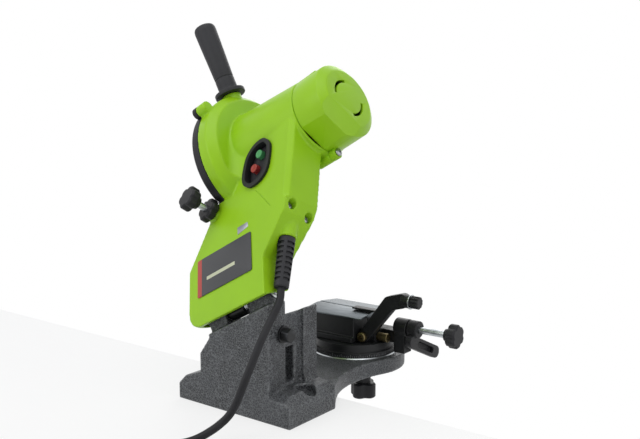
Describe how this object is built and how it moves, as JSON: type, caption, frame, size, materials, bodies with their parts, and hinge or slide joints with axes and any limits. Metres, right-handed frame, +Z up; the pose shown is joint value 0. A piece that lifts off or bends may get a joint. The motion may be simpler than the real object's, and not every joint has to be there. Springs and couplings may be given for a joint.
{
  "type": "electric chainsaw sharpener",
  "caption": "Bench-edge chain grinder: tilted swing head with guarded wheel and motor, cast base, swivelling chain vise with stop and lever.",
  "frame": {"origin": "middle of the cast foot's underside, where it sits on a bench by its edge", "axes": "+Z up; +X towards the motor end; +Y towards the chain vise, past the bench edge"},
  "size_m": [0.3203, 0.5168, 0.4636],
  "materials": {
    "hammered_grey": "hammered enamel",
    "green_shell": "semi-gloss",
    "black_plastic": "fine texture",
    "black_steel": "blackened",
    "zinc": "bright zinc",
    "steel": "machined",
    "copper_iron": "varnished winding",
    "brass": "worn",
    "abrasive": "coarse grit",
    "button_green": "gloss",
    "button_red": "gloss",
    "label_film": "printed film, left without text",
    "cord_jacket": "matt"
  },
  "bodies": {
    "base": {"base_casting": "hammered_grey", "side_bolt_washer": "black_steel", "side_bolt": "black_steel", "hinge_pin": "steel", "hinge_clip": "steel", "pivot_stud": "steel", "power_cord": "cord_jacket", "cord_coil": "cord_jacket", "plug": "cord_jacket"},
    "head": {"head_casting": "green_shell", "arm_front_cover": "green_shell", "hinge_barrel": "black_steel", "return_spring": "zinc", "motor_cap": "green_shell", "cap_screw_1": "steel", "cap_screw_2": "steel", "side_screw_1": "steel", "side_screw_2": "steel", "guard_cover": "black_plastic", "guard_screw": "steel", "handle_grip": "black_plastic", "switch_bezel": "black_plastic", "switch_body": "black_plastic", "label_plate": "label_film", "strain_relief": "cord_jacket", "front_bearing": "steel", "rear_bearing": "steel", "stator_core": "steel", "brush_holder_1": "brass", "brush_holder_2": "brass"},
    "spindle": {"motor_shaft": "steel", "rotor_core": "copper_iron", "commutator": "copper_iron", "cooling_fan": "black_plastic", "grinding_wheel": "abrasive", "inner_flange": "steel", "outer_flange": "steel", "wheel_nut": "steel"},
    "on_button": {"button_on": "button_green"},
    "off_button": {"button_off": "button_red"},
    "depth_stop_rod": {"depth_rod": "zinc"},
    "depth_stop_knob": {"depth_knob": "black_plastic"},
    "depth_lock": {"depth_lock_knob": "black_plastic"},
    "turntable": {"turntable_disc": "black_steel", "lock_stud": "zinc", "vise_body": "black_steel", "rear_rail": "zinc", "brass_bush": "brass", "stop_pivot_pin": "brass"},
    "turntable_lock": {"turntable_lock_knob": "black_plastic"},
    "jaw": {"moving_jaw": "black_steel", "front_rail": "zinc"},
    "lever": {"clamp_lever": "black_plastic"},
    "chain_stop": {"stop_arm": "black_steel", "stop_tongue": "black_steel"},
    "chain_stop_screw": {"stop_thumb_screw": "black_plastic", "stop_washer": "steel"},
    "adjuster": {"adjust_rod": "zinc"},
    "adjuster_knob": {"adjust_knob": "black_plastic"}
  },
  "joints": [
    {"name": "head_swing", "type": "hinge", "parent": "base", "child": "head", "pos_m": [0.0109, -0.019, 0.1166], "axis": [-0.8846, 0, -0.4664], "range_deg": [0, 42], "stiffness_Nm_per_rad": 2.8, "springref_deg": -60.16},
    {"name": "spindle_spin", "type": "hinge", "parent": "head", "child": "spindle", "pos_m": [-0.06579, 0.08307, 0.26205], "axis": [0.8846, 0, 0.4664], "continuous": true},
    {"name": "on_button_push", "type": "slide", "parent": "head", "child": "on_button", "axis": [0.2037, 0.8996, -0.3864], "range_m": [0, 0.0025], "stiffness_N_per_m": 400, "springref_m": -0.003},
    {"name": "off_button_push", "type": "slide", "parent": "head", "child": "off_button", "axis": [0.2037, 0.8996, -0.3864], "range_m": [0, 0.0025], "stiffness_N_per_m": 400, "springref_m": -0.003},
    {"name": "depth_slide", "type": "slide", "parent": "head", "child": "depth_stop_rod", "axis": [0.2833, 0.7944, -0.5373], "range_m": [-0.006, 0.004]},
    {"name": "depth_knob_turn", "type": "hinge", "parent": "depth_stop_rod", "child": "depth_stop_knob", "pos_m": [-0.06406, 0.02957, 0.19016], "axis": [0.2833, 0.7944, -0.5373], "range_deg": [-1730, 1154]},
    {"name": "depth_lock_turn", "type": "hinge", "parent": "head", "child": "depth_lock", "pos_m": [-0.06406, 0.02957, 0.19016], "axis": [0.2833, 0.7944, -0.5373], "range_deg": [-90, 90]},
    {"name": "turntable_turn", "type": "hinge", "parent": "base", "child": "turntable", "pos_m": [0.013, 0.169, 0.03], "axis": [0, 0, 1], "range_deg": [-35, 35]},
    {"name": "turntable_lock_turn", "type": "hinge", "parent": "turntable", "child": "turntable_lock", "pos_m": [0.013, 0.189, -0.02], "axis": [0, 0, 1], "range_deg": [-90, 90]},
    {"name": "lever_turn", "type": "hinge", "parent": "turntable", "child": "lever", "pos_m": [0.1, 0.169, 0.063], "axis": [1, 0, 0], "range_deg": [0, 92]},
    {"name": "jaw_slide", "type": "slide", "parent": "turntable", "child": "jaw", "axis": [0, 1, 0], "range_m": [0, 0.002]},
    {"name": "chain_stop_swing", "type": "hinge", "parent": "turntable", "child": "chain_stop", "pos_m": [0.042, 0.15, 0.0496], "axis": [0, 1, 0], "range_deg": [0, 15]},
    {"name": "chain_stop_screw_turn", "type": "hinge", "parent": "chain_stop", "child": "chain_stop_screw", "pos_m": [0.11, 0.1497, 0.1], "axis": [1, 0, 0], "range_deg": [-90, 90]},
    {"name": "adjuster_slide", "type": "slide", "parent": "turntable", "child": "adjuster", "axis": [1, 0, 0], "range_m": [-0.008, 0.008]},
    {"name": "adjuster_knob_turn", "type": "hinge", "parent": "adjuster", "child": "adjuster_knob", "pos_m": [0.15, 0.169, 0.063], "axis": [1, 0, 0], "range_deg": [-2306, 2306]}
  ],
  "couplings": [
    {"joint": "depth_knob_turn", "follows": "depth_slide", "rad_per_m": 5026.5},
    {"joint": "adjuster_knob_turn", "follows": "adjuster_slide", "rad_per_m": 5026.5},
    {"joint": "lever_turn", "follows": "jaw_slide", "rad_per_m": 785.4}
  ]
}
